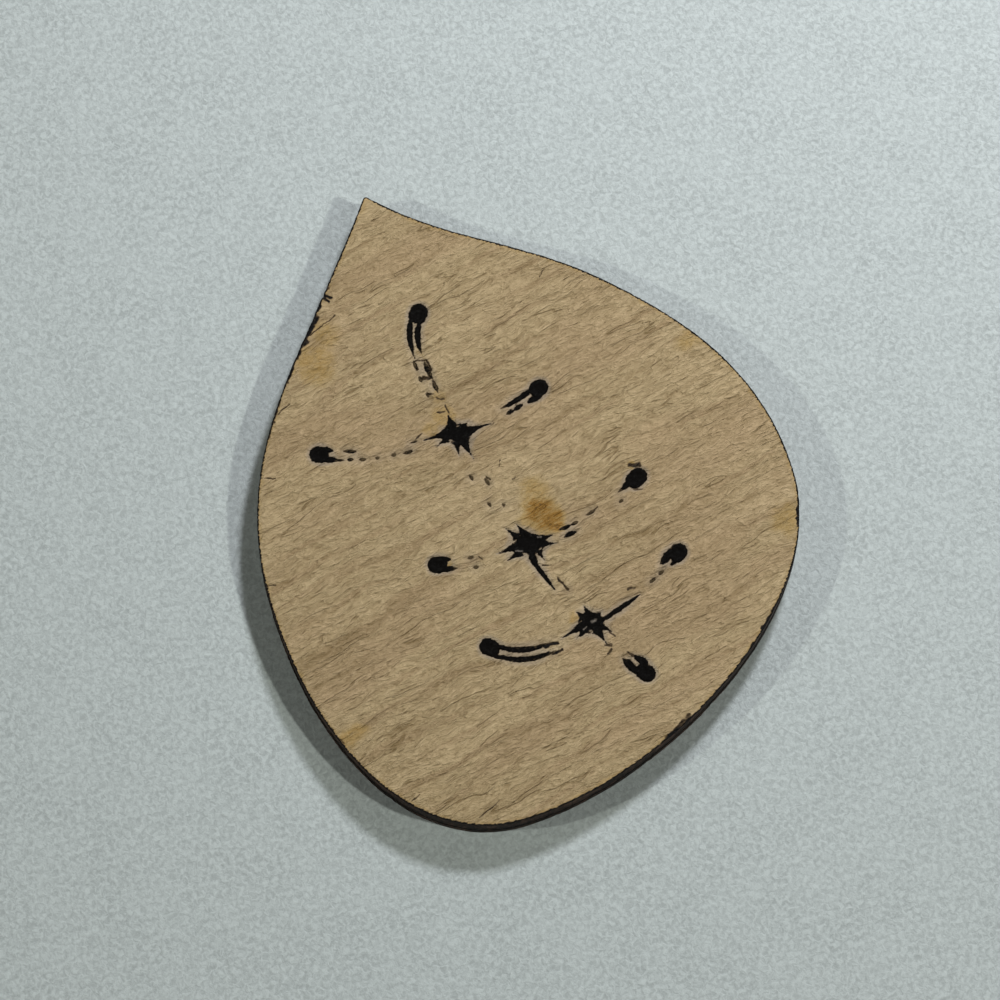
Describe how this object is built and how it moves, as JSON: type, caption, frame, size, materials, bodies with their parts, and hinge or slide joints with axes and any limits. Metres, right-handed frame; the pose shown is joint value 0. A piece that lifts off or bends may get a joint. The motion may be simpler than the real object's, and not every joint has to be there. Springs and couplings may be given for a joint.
{
  "type": "burned leaf plaque",
  "caption": "Small leaf-shaped board cut by laser from thin plywood, with a vein pattern burned into its face by a wood burning pen; lies flat or is glued on as an ornament.",
  "frame": {"origin": "Centre of the leaf's outer box on its back face, where it rests.", "axes": "+Y runs along the leaf towards its pointed tip, +X to the right seen from the burned face, +Z out of the burned face."},
  "size_m": [0.041, 0.05, 0.003],
  "materials": {
    "face_veneer": "bare sanded birch or maple veneer, pale tan, with fine short flecks along the grain and charred brown cut edges",
    "core_veneer": "cross-grain core ply whose cut edge is charred dark brown",
    "back_veneer": "bare veneer with a light smoke haze near the cut edge",
    "glue": "thin hardened glue film, scorched nearly black where it shows at the cut edge",
    "char": "burned wood, black with a faint brown and violet cast, crusty, slightly sunk below the face"
  },
  "bodies": {
    "root": {"back_veneer": "back_veneer", "back_glue_line": "glue", "core_veneer": "core_veneer", "face_glue_line": "glue", "face_veneer": "face_veneer", "spine_burn": "char", "upper_vein_burn": "char", "middle_vein_burn": "char", "lower_vein_burn": "char", "upper_crossing_burn": "char", "middle_crossing_burn": "char", "lower_crossing_burn": "char"}
  },
  "joints": []
}
